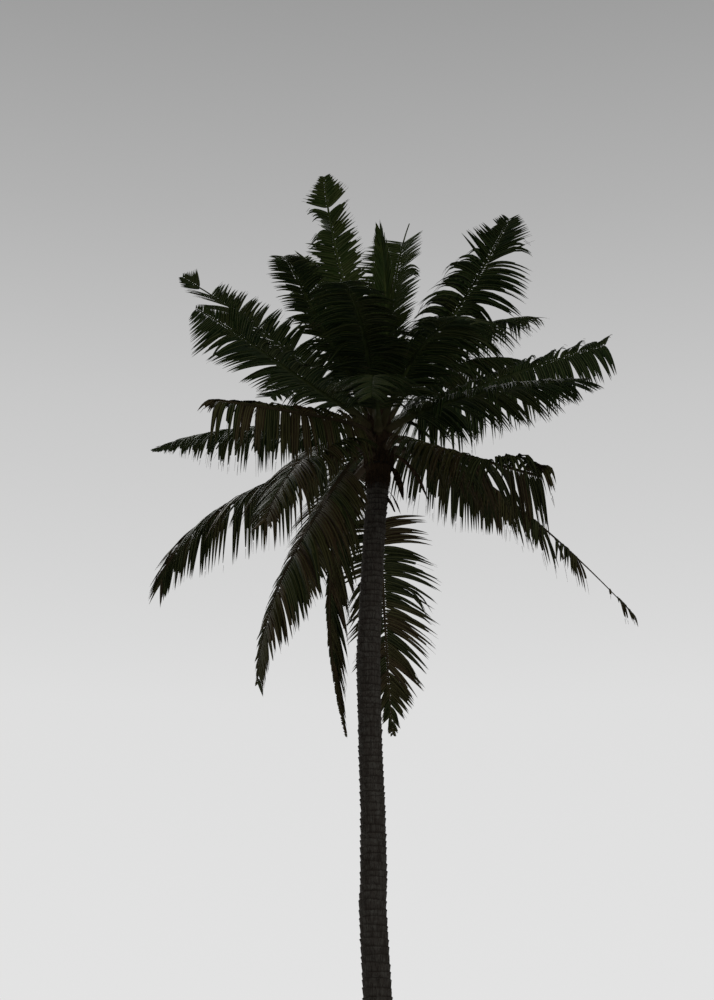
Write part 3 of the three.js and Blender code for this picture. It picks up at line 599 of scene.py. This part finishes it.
def form_tuft(frond, side, plan):
    """Spreads the last leaflets into a flat tuft, in which they are shorter and shorter."""
    start, lengths, angles = frond["tuft"]
    past = (plan["share"] - start) / (1 - start)
    own = {
        "length": lengths[side] * mix(1, TUFT["end"], past),
        "angle": math.radians(angles[side]) + TUFT["stray"] * plan["slant"],
        "droop": TUFT["droop"] * plan["droop"],
        "blade": np.maximum(plan["blade"], TUFT["torn_at"]),
    }
    for key, value in own.items():
        plan[key] = np.where(past > 0, value, plan[key])


def plan_leaflets(frond, side, random):
    """Where one side's leaflets stand, and each one's length, angles, bends, tears and tint."""
    stalk, length = frond["stalk"], frond["length"]
    pairs = round((length - stalk) / LEAFLET_PITCH)

    def jitter(kind):
        return random.uniform(*JITTER[kind], pairs)

    leafy = (np.arange(pairs) + jitter("place")) / pairs
    share = (stalk + leafy * (length - stalk)) / length
    clump, beyond = deal_clumps(pairs, random)
    cling = frond["cling"] * jitter("cling")[clump]
    own_share = leaf_share(frond, leafy * frond["snap"])
    blade = frond["leaf"] * frond["sides"][side] * own_share * jitter("length")
    spread = np.radians(mix(frond["spread"], frond["tip_spread"], leafy * frond["snap"]))
    swing = stray(random, clump, frond["cling"], STRAY_ANGLE)
    closing = cling * beyond * LEAFLET_PITCH / blade
    lift = stray(random, clump, frond["cling"], STRAY_LIFT)
    torn = random.random(pairs) < frond["frayed"]
    bent = random.random(pairs) < BENT[0] + BENT[1] * frond["frayed"]
    bend_at = np.where(bent, jitter("bend_at"), UNBENT)[clump]
    plan = {
        "share": share,
        "hand": np.full(pairs, 1 - 2 * side),
        "angle": spread + (swing + closing) * np.sin(spread),
        "lift": math.radians(frond["lift"]) + lift,
        "length": blade,
        "droop": frond["droop"] * own_share * jitter("droop")[clump],
        "twist": np.radians(random.normal(0, 1, (2, pairs)) * TWIST),
        "blade": np.where(torn, jitter("torn_at"), 1.0),
        "slant": random.uniform(-1, 1, pairs),
        "bend_at": bend_at + jitter("bend_apart"),
        "spray": np.arange(pairs) // SPRAY,
    }
    if frond["tuft"]:
        form_tuft(frond, side, plan)
    lost = random.random(pairs) < np.where(in_bare_stretch(frond, share), BARE_LOST, frond["lost"])
    return {key: value[..., ~lost] for key, value in plan.items()}


def leaflet_paths(frond, plan, shares):
    """Points and blade axes of each leaflet at its own shares of its length."""
    root = rib_at(frond, plan["share"])
    hand, lift, angle, droop, bend_at, length = (
        plan[key][:, None] for key in ("hand", "lift", "angle", "droop", "bend_at", "length")
    )
    out = root["side"] * hand * np.cos(lift) + root["up"] * np.sin(lift)
    start = root["along"] * np.cos(angle) + out * np.sin(angle)
    middle = (shares[:, 1:] + shares[:, :-1]) / 2
    towards = np.repeat(start[:, None], middle.shape[1], axis=1)
    towards[..., 2] -= (droop * LEAFLET["fall"]) * middle ** LEAFLET["fall_power"]
    hanging = np.clip((middle - bend_at) / BEND_LENGTH + 0.5, 0, 1)[..., None]
    towards = unit(towards * (1 - BENT_LOSS * hanging) + np.array([0, 0, -BENT_DOWN]) * hanging)
    steps = towards * (np.diff(shares, axis=1) * length)[..., None]
    width, height = rib_size(frond, plan["share"] * frond["length"])
    beside, above = LEAFLET_SEAT
    seat = root["side"] * hand * (beside * width)[:, None] + root["up"] * (above * height)[:, None]
    points = (root["point"] + seat)[:, None] + np.concatenate(
        [np.zeros((len(hand), 1, 3)), np.cumsum(steps, axis=1)], axis=1
    )
    facing = np.concatenate([towards[:, :1], towards], axis=1)
    facing[:, 1:-1] = unit(towards[:, :-1] + towards[:, 1:])
    rib_way = root["along"][:, None]
    across = rib_way - facing * np.sum(rib_way * facing, axis=-1, keepdims=True)
    across = unit(across) * -hand[..., None]
    over = np.cross(across, facing)
    twist = (plan["twist"][0][:, None] + plan["twist"][1][:, None] * shares)[..., None]
    turned = across * np.cos(twist) + over * np.sin(twist)
    return points, facing, turned, np.cross(turned, facing)


def blade_arrays(frond, plan):
    """Corners of the blades: left edge, ridge, right edge and midrib at each station."""
    shares = BLADE_STATIONS * plan["blade"][:, None]
    points, facing, across, over = leaflet_paths(frond, plan, shares)
    breadth = mix(NARROWEST, 1, plan["length"] / frond["leaf"])
    half = LEAFLET["width"] / 2 * breadth[:, None] * np.interp(shares, BLADE_STATIONS, BLADE_WIDTHS)
    thick = (LEAFLET["thick"] * mix(1, THIN_END, shares))[..., None]
    half = half[..., None]
    drop = over * half * LEAFLET["fold"]
    left = points - across * half - drop
    right = points + across * half - drop
    tear = facing[:, -1] * half[:, -1] * plan["slant"][:, None] * (plan["blade"] < 1)[:, None]
    left[:, -1] += tear
    right[:, -1] -= tear
    return np.stack([left, points + over * thick / 2, right, points - over * thick / 2], axis=2)


def tube_corners(points, across, over, half):
    """Corners of thin square tubes that run through points, from half their width."""
    return np.stack(
        [points - across * half, points + over * half, points + across * half, points - over * half], axis=2
    )


def thread_arrays(frond, plan):
    """Corners of the bare midribs past the torn ends of blades."""
    torn = {key: value[..., plan["blade"] < 1] for key, value in plan.items()}
    past = torn["blade"][:, None]
    shares = mix(past - THREAD_OVERLAP, 1.0, THREAD_STATIONS)
    points, _, across, over = leaflet_paths(frond, torn, np.hstack([0 * past, shares]))
    half = THREAD_WIDTH / 2 * THREAD_WIDTHS[None, :, None]
    return tube_corners(points[:, 1:], across[:, 1:], over[:, 1:], half)


def tube_faces(count, stations):
    """Faces of a number of four-cornered tubes with closed ends."""
    ring = np.arange(stations - 1)[:, None] * 4
    corner = np.arange(4)[None, :]
    following = (corner + 1) % 4
    sides = np.stack([ring + corner, ring + following, ring + 4 + following, ring + 4 + corner], axis=-1)
    first = np.array([[3, 2, 1, 0]])
    last = np.array([[0, 1, 2, 3]]) + 4 * (stations - 1)
    one = np.vstack([sides.reshape(-1, 4), first, last])
    return (one[None] + (np.arange(count) * stations * 4)[:, None, None]).reshape(-1, 4)


def mesh_of_tubes(name, corners, tints):
    """One joined mesh from the corner arrays of many tubes, each tube in its own tint."""
    count, stations = corners.shape[:2]
    faces = tube_faces(count, stations)
    tint_of_face = np.repeat(tints, len(faces) // count)
    mesh = bpy.data.meshes.new(name)
    mesh.vertices.add(count * stations * 4)
    mesh.vertices.foreach_set("co", corners.astype(np.float32).ravel())
    mesh.loops.add(faces.size)
    mesh.loops.foreach_set("vertex_index", faces.astype(np.int32).ravel())
    mesh.polygons.add(len(faces))
    mesh.polygons.foreach_set("loop_start", np.arange(0, faces.size, 4, dtype=np.int32))
    mesh.polygons.foreach_set("material_index", tint_of_face.astype(np.int32))
    across = np.tile(np.array([0.0, 0.5, 1.0, 0.5]), count * stations)
    run = np.linalg.norm(np.diff(corners[:, :, 1], axis=1), axis=-1)
    down = np.hstack([np.zeros((count, 1)), np.cumsum(run, axis=1)])
    shifted = down + VEIN_SHIFT * np.arange(count)[:, None]
    layout = np.stack([across, np.repeat(shifted.ravel(), 4)], axis=-1)
    uv = mesh.uv_layers.new(name="blade")
    uv.data.foreach_set("uv", layout[faces.ravel()].astype(np.float32).ravel())
    mesh.update(calc_edges=True)
    mesh.shade_smooth()
    return mesh


def model_leaflets(age, tint_shares):
    """The blades of an age's fronds as one mesh, and the bare threads as another."""
    blades, threads, tints = [], [], []
    for index, frond in enumerate(FRONDS):
        if frond["age"] != age:
            continue
        random = np.random.default_rng(FROND_SEED + index)
        for side in (0, 1):
            plan = plan_leaflets(frond, side, random)
            blades.append(blade_arrays(frond, plan))
            threads.append(thread_arrays(frond, plan))
            dealt = random.choice(len(tint_shares), TINTS_DEALT, p=tint_shares)
            tints.append(dealt[plan["spray"]])
    threads = np.concatenate(threads)
    return (
        mesh_of_tubes(f"leaflets_{age}", np.concatenate(blades), np.concatenate(tints)),
        mesh_of_tubes(f"leaflet_threads_{age}", threads, np.zeros(len(threads))),
    )


def leaf_material(name, colour, shaded, midrib):
    material, tree, coords = new_material(name)
    layout = new_node(tree, "SeparateXYZ", {0: coords["UV"]})
    turned = new_node(tree, "CombineXYZ", {"X": layout["X"], "Z": layout["Y"]})[0]
    height, shaded_veins = long_grain(tree, turned, 26.0, 1.4)
    wear_and_shade = blotch_mask(tree, coords["Object"], 0.22, 0.46)
    off_middle = calculate(tree, "ABSOLUTE", calculate(tree, "SUBTRACT", layout["X"], 0.5))
    on_midrib = carry_over(tree, off_middle, (0.03, 0.10), (1.0, 0.0))
    # The shaded colour laid in blotches and along the veins is painted shade; the paler midrib is the
    # leaflet's own colour.
    shown = mix_colours(tree, colour, (wear_and_shade, shaded), (shaded_veins, shaded), (on_midrib, midrib))
    rough = carry_over(tree, height, (0.0, 1.0), (0.48, 0.72))
    return dress(material, shown, rough, height, specular=0.3, strength=0.4, depth=0.0012)


LEAF_TINTS = {  # share of the sprays, sunlit colour and shaded colour
    "young": [(0.6, (0.105, 0.165, 0.028), (0.062, 0.108, 0.020)),
              (0.4, (0.135, 0.185, 0.034), (0.085, 0.125, 0.024))],
    "green": [(0.45, (0.052, 0.098, 0.020), (0.030, 0.062, 0.014)),
              (0.35, (0.068, 0.118, 0.022), (0.040, 0.075, 0.016)),
              (0.20, (0.090, 0.125, 0.026), (0.055, 0.080, 0.018))],
    "old": [(0.40, (0.078, 0.098, 0.024), (0.045, 0.060, 0.016)),
            (0.35, (0.130, 0.118, 0.034), (0.080, 0.070, 0.022)),
            (0.25, (0.175, 0.120, 0.048), (0.100, 0.066, 0.030))],
}
MIDRIB = (0.185, 0.190, 0.070)
THREAD = leaf_material("dry_thread", (0.150, 0.105, 0.055), (0.095, 0.064, 0.034), (0.120, 0.085, 0.045))
for age, tints in LEAF_TINTS.items():
    shares = [tint[0] for tint in tints]
    leaves = [
        leaf_material(f"leaf_{age}_{count}", colour, shaded, MIDRIB)
        for count, (_, colour, shaded) in enumerate(tints, start=1)
    ]
    blades, threads = model_leaflets(age, shares)
    link_piece(f"leaflets_{age}", blades, f"{age}_frond", frond_nodes(age), *leaves)
    link_piece(f"leaflet_threads_{age}", threads, f"{age}_frond", frond_nodes(age), THREAD)


# The foot of the crown: brown fibre cloth sheathes the trunk between the fronds' feet, and below them
# it is torn into a skirt with a fringe. From it hang two strips, an old pointed flower sheath with a
# hollow inside, and lower down the stub of a shed frond. All of it is dry and brown.
CLOTH_GAP = 0.003
CLOTH_THICK = 0.007
SKIRT = dict(  # turn is in degrees round the trunk, reach is how far the fringe starts above the torn edge
    turn=(165, 338), top=11.735, bottom=11.56, fray=0.15, flare=0.012, bulge=0.004, columns=150, rows=16,
    threads=520, reach=0.09, seed=47,
)
WRAP = dict(
    turn=(-24, 346), top=12.70, bottom=11.80, fray=0.10, flare=0.0, bulge=0.024, columns=240, rows=72,
    threads=700, reach=0.9, seed=53,
)
# Layers of noise that make a cloth uneven: how fast each changes round the trunk and upwards, its place
# in the noise, two ways, and its strength.
TEARS = [(9, 0, 3.1, 0, 1), (31, 0, 7.7, 0, 0.6)]
TOP_EDGE = [(12, 0, 0, 5, 0.015)]
WAVES = [(6, 7, 0, 2, 1), (21, 24, 0, 9, 0.5)]
TEAR = dict(middle=0.45, swing=0.75, most=1.3)
LEAST_FLARE = 0.4
WEAVE_RADIUS = 0.17  # the trunk's, which turns the weave's place round it into metres
FRINGE = dict(
    width=0.007, fine=(0.5, 1), thin_end=0.25, length=(0.05, 0.24), short=(0.5, 1), least_reach=0.01,
    stations=5, sway=0.10, sway_power=1.5, gap=0.012, over_bulge=1.5, stand_off=(0.0, 0.014),
)
BOAT_SECTION = [  # a hollow boat, sideways and upwards, as shares of the width and thickness
    (-0.50, 0.34), (-0.36, -0.02), (-0.14, -0.20), (0.14, -0.20), (0.36, -0.02), (0.50, 0.34),
    (0.44, -0.10), (0.17, -0.52), (-0.17, -0.52), (-0.44, -0.10),
]
STRIP_SECTION = [
    (-0.50, 0.10), (-0.25, 0.30), (0.0, 0.14), (0.25, 0.32), (0.50, 0.06), (0.24, -0.20), (0.0, -0.34),
    (-0.24, -0.18),
]
HANGER = dict(sweep=0, bend=1, blunt=False)
SHEATH = dict(HANGER, heading=359, height=11.74, length=0.58, foot=-48, rise=-80, tip=-86,
              rolls=[(0, 0), (0.4, 70), (1, 80)], width=0.104, thick=0.034, foot_width=0.7,
              section=BOAT_SECTION, stations=34, ragged=0.04)
STRIP = dict(HANGER, foot_width=0.8, section=STRIP_SECTION, stations=30, ragged=0.25)
STRIPS = [
    dict(STRIP, heading=2, height=11.93, length=1.0, foot=-5, rise=-58, tip=-74,
         rolls=[(0, 20), (0.4, 70), (1, 80)], width=0.058, thick=0.014),
    dict(STRIP, heading=8, height=11.36, length=0.4, foot=-50, rise=-74, tip=-78,
         rolls=[(0, -20), (0.5, -60), (1, -80)], width=0.04, thick=0.012),
]
STUB = dict(HANGER, heading=352, height=11.22, length=0.22, foot=-50, rise=-84, tip=-88, rolls=[(0, 0)],
            width=0.096, thick=0.044, section=RIB_SECTION, stations=8, ragged=0.10, blunt=True)
HANGER_MARKS = (0, 0.16, 0.38, 0.68, 1)
HANGER_WIDTHS = (0.9, 1.0, 0.72, 0.0)  # at each mark past the foot
HANGER_POWER = 0.8
HANGER_END = 0.04
HANGER_THINS = 0.45


def hanger_rings(hanger):
    """Rings of a hanging piece from inside the trunk to its end, and their distances from its foot."""
    stations, ragged = hanger["stations"], hanger["ragged"]
    share = np.linspace(0, 1, stations)
    if hanger["blunt"]:
        width = np.ones(stations)
    else:
        width = np.interp(share, HANGER_MARKS, [hanger["foot_width"], *HANGER_WIDTHS]) ** HANGER_POWER
    width = hanger["width"] * np.maximum(width, HANGER_END)
    thick = hanger["thick"] * (1 - HANGER_THINS * share)
    distance = np.append(-FOOT_INSET, share * hanger["length"])
    width, thick = np.append(width[0], width), np.append(thick[0], thick)
    random = np.random.default_rng(31)
    section = np.array(hanger["section"])
    section = section * random.uniform(1 - ragged, 1 + ragged, (stations + 1, len(section), 1))
    return rings_along(hanger, distance, section, width, thick), distance


def cloth_point(turn, height, over):
    """A place on the trunk at a turn and a height, and how far over its bark."""
    lean, radius = trunk_at(height)
    out = radius + CLOTH_GAP + over
    return np.stack([lean + out * np.cos(turn), out * np.sin(turn), height + 0 * turn], axis=-1)


def uneven(layers, turn, height=0):
    return sum(
        strength * noise.noise(Vector((turn * round_rate, height * up_rate + across, along)))
        for round_rate, up_rate, across, along, strength in layers
    )


def cloth_edge(cloth, turns):
    """Heights of a cloth's torn lower edge at turns round the trunk."""
    tears = np.array([uneven(TEARS, turn) for turn in np.atleast_1d(turns)])
    depth = np.clip(TEAR["middle"] + TEAR["swing"] * tears, 0, TEAR["most"])
    return cloth["bottom"] - cloth["fray"] * depth


def model_cloth(name, cloth):
    """A cloth round the trunk, torn below. Where its two ends meet, one lies over the other."""
    bm = bmesh.new()
    layout = bm.loops.layers.uv.new("cloth")
    bmesh.ops.create_grid(bm, x_segments=cloth["columns"], y_segments=cloth["rows"], size=0.5)
    start, end = (math.radians(turn) for turn in cloth["turn"])
    for vert in bm.verts:
        round_share, down = vert.co.x + 0.5, 0.5 - vert.co.y
        turn = mix(start, end, round_share)
        top = cloth["top"] - uneven(TOP_EDGE, turn)
        height = mix(top, cloth_edge(cloth, turn)[0], down)
        wave = uneven(WAVES, turn, height)
        over = cloth["flare"] * down * (LEAST_FLARE + abs(wave)) + cloth["bulge"] * (1 + wave)
        for loop in vert.link_loops:
            loop[layout].uv = (turn * WEAVE_RADIUS, height)
        vert.co = Vector(cloth_point(turn, height, over + CLOTH_THICK * round_share))
    bmesh.ops.recalc_face_normals(bm, faces=bm.faces)
    bmesh.ops.solidify(bm, geom=bm.faces[:], thickness=-CLOTH_THICK)
    bmesh.ops.recalc_face_normals(bm, faces=bm.faces)
    return smooth_mesh(name, bm)


def model_fringe(name, cloth):
    """Loose fibres that hang from a cloth and stand off it a little."""
    count = cloth["threads"]
    random = np.random.default_rng(cloth["seed"])
    turn = np.radians(random.uniform(*cloth["turn"], count))
    top = cloth_edge(cloth, turn) + random.uniform(FRINGE["least_reach"], cloth["reach"], count)
    long = random.uniform(*FRINGE["length"], count) * random.uniform(*FRINGE["short"], count)
    shares = np.linspace(0, 1, FRINGE["stations"])
    height = top[:, None] - long[:, None] * shares
    sway = turn[:, None] + random.normal(0, FRINGE["sway"], (count, 1)) * shares ** FRINGE["sway_power"]
    over = FRINGE["gap"] + FRINGE["over_bulge"] * cloth["bulge"]
    over = over + shares * random.uniform(*FRINGE["stand_off"], (count, 1))
    points = cloth_point(sway, height, over)
    around = np.stack([-np.sin(sway), np.cos(sway), 0 * sway], axis=-1)
    out = np.stack([np.cos(sway), np.sin(sway), 0 * sway], axis=-1)
    half = (FRINGE["width"] / 2 * mix(1, FRINGE["thin_end"], shares))[None, :, None]
    half = half * random.uniform(*FRINGE["fine"], (count, 1, 1))
    return mesh_of_tubes(name, tube_corners(points, around, out, half), np.zeros(count))


def woven_fibre(tree, vector):
    """Two layers of coarse fibres that cross aslant."""
    layers = []
    for slant in (0.62, -0.55):
        sockets = {"Vector": vector, "Angle": slant}
        turned = new_node(tree, "VectorRotate", sockets, rotation_type="Z_AXIS")[0]
        sockets = {"Vector": turned, "Scale": 38.0, "Distortion": 5.0, "Detail": 3.0, "Detail Scale": 1.2}
        layers.append(new_node(tree, "TexWave", sockets, wave_type="BANDS", bands_direction="X")["Fac"])
    return calculate(tree, "MAXIMUM", *layers)


def cloth_material():
    material, tree, coords = new_material("woven_fibre_cloth")
    weave = woven_fibre(tree, coords["UV"])
    wear_and_shade = blotch_mask(tree, coords["Object"], 0.05, 0.5)
    thread = mix_colours(tree, (0.215, 0.145, 0.082), (wear_and_shade, (0.140, 0.090, 0.052)))
    # The near-black colour between the fibres of the weave is painted shade.
    shown = mix_colours(tree, (0.050, 0.032, 0.020), (weave, thread))
    return dress(material, shown, 0.92, weave, specular=0.15, strength=0.9, depth=0.004)


# GROOVE_SHADE darkens the shaded colour into painted shade in the grooves.
GROOVE_SHADE = 0.4  # a groove's colour against the shaded one


def husk_material(name, across, along, colour, shaded):
    material, tree, coords = new_material(name)
    height, grooves = long_grain(tree, coords["Object"], across, along)
    wear_and_shade = blotch_mask(tree, coords["Object"], 0.06, 0.5)
    painted_groove_shade = tuple(GROOVE_SHADE * value for value in shaded)
    # The shaded colour in the blotches and the darker colour in the grooves are painted shade.
    shown = mix_colours(tree, colour, (wear_and_shade, shaded), (grooves, painted_groove_shade))
    rough = carry_over(tree, height, (0.0, 1.0), (0.7, 0.95))
    return dress(material, shown, rough, height, specular=0.2, strength=0.8, depth=0.003)


STRAND = husk_material("dry_fibre", 260.0, 8.0, (0.200, 0.134, 0.076), (0.120, 0.077, 0.045))
HUSK = husk_material("dry_sheath", 130.0, 4.0, (0.140, 0.088, 0.048), (0.086, 0.054, 0.031))
CLOTH = cloth_material()
for cloth, fringe, sizes, slot, node in (
    ("fibre_cloth", "fibre_fringe", SKIRT, "fibre", "fibre_skirt"),
    ("sheath_fibre", "sheath_fringe", WRAP, "bark", "trunk"),
):
    link_piece(cloth, model_cloth(cloth, sizes), slot, [node], CLOTH)
    link_piece(fringe, model_fringe(fringe, sizes), slot, [node], STRAND)
for name, hangers, nodes, material in (
    ("fibre_strips", STRIPS, ["fibre_strip_long", "fibre_strip_short"], STRAND),
    ("old_flower_sheath", [SHEATH], ["flower_sheath"], HUSK),
    ("shed_frond_stub", [STUB], ["frond_stub"], HUSK),
):
    mesh = model_swept(name, [hanger_rings(hanger) for hanger in hangers])
    link_piece(name, mesh, "fibre", nodes, material)


# The studio: a wide pale floor and a plain backdrop that is darker higher up, with one broad soft lamp
# high behind the crown and a weak one in front, so that the palm stands dark against the backdrop.
FLOOR_SIZE = 240
FLOOR_DROP = 0.004  # keeps the floor just under the trunk's flat cut
BACKDROP = [  # height of the view as a sine, and the grey seen there
    (0.05, 0.78), (0.24, 0.735), (0.30, 0.670), (0.39, 0.575), (0.48, 0.445), (0.53, 0.385), (0.60, 0.300),
]
AMBIENT = 0.18


def model_floor():
    bm = bmesh.new()
    bmesh.ops.create_grid(bm, x_segments=8, y_segments=8, size=FLOOR_SIZE / 2)
    return smooth_mesh("floor", bm)


def floor_material():
    material, tree, coords = new_material("pale_floor")
    scuffed = blotch_mask(tree, coords["Object"], 3.0, 0.5)
    shader = tree.nodes["Principled BSDF"].inputs
    tone = mix_colours(tree, (0.62, 0.62, 0.62), (scuffed, (0.58, 0.58, 0.58)))
    feed(tree, shader["Base Color"], tone)
    feed(tree, shader["Roughness"], 0.85)
    return material


floor_mesh = model_floor()
floor_mesh.materials.append(floor_material())
floor = add_object("floor", floor_mesh)
floor.location.z = -FLOOR_DROP
floor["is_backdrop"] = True


def light_backdrop():
    world = bpy.data.worlds.new("backdrop")
    bpy.context.scene.world = world
    world.use_nodes = True
    tree = world.node_tree
    shade = tree.nodes["Background"].inputs
    view = new_node(tree, "TexCoord")["Generated"]
    ramp = tree.nodes.new("ShaderNodeValToRGB")
    feed(tree, ramp.inputs["Fac"], new_node(tree, "SeparateXYZ", {0: view})["Z"])
    stops = ramp.color_ramp.elements
    while len(stops) < len(BACKDROP):
        stops.new(0.5)
    for stop, (place, grey) in zip(stops, BACKDROP):
        stop.position = place
        stop.color = (grey, grey, grey, 1)
    seen = new_node(tree, "LightPath")["Is Camera Ray"]
    feed(tree, shade["Color"], ramp.outputs["Color"])
    feed(tree, shade["Strength"], carry_over(tree, seen, (0.0, 1.0), (AMBIENT, 1.0)))


light_backdrop()


CROWN_MIDDLE = Vector((0, 0, 11.5))


def add_lamp(name, place, size, power):
    lamp = bpy.data.lights.new(name, "AREA")
    lamp.size = size
    lamp.energy = power
    holder = add_object(name, lamp)
    holder.location = place
    holder.rotation_euler = (CROWN_MIDDLE - Vector(place)).to_track_quat("-Z", "Y").to_euler()


add_lamp("back_lamp", (-9, 15, 25), size=14, power=2900)
add_lamp("front_lamp", (14, -18, 12), size=12, power=360)


# The camera stands on the ground a little to the left of the trunk, at the height of a standing
# viewer's eye, and looks up at the crown.
EYE = (-0.36, -26.4, 1.6)
LOOK_UP = 20.0
FOCAL_LENGTH = 68.4
lens = bpy.data.cameras.new("viewer")
lens.sensor_width = 36
lens.lens = FOCAL_LENGTH
lens.clip_end = 400
viewer = add_object("viewer", lens)
viewer.location = EYE
viewer.rotation_euler = (math.radians(90 + LOOK_UP), 0, 0)
bpy.context.scene.camera = viewer
bpy.context.scene.view_settings.view_transform = "Standard"

sizes = {"cad": CAD_BOX, "visual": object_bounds()}
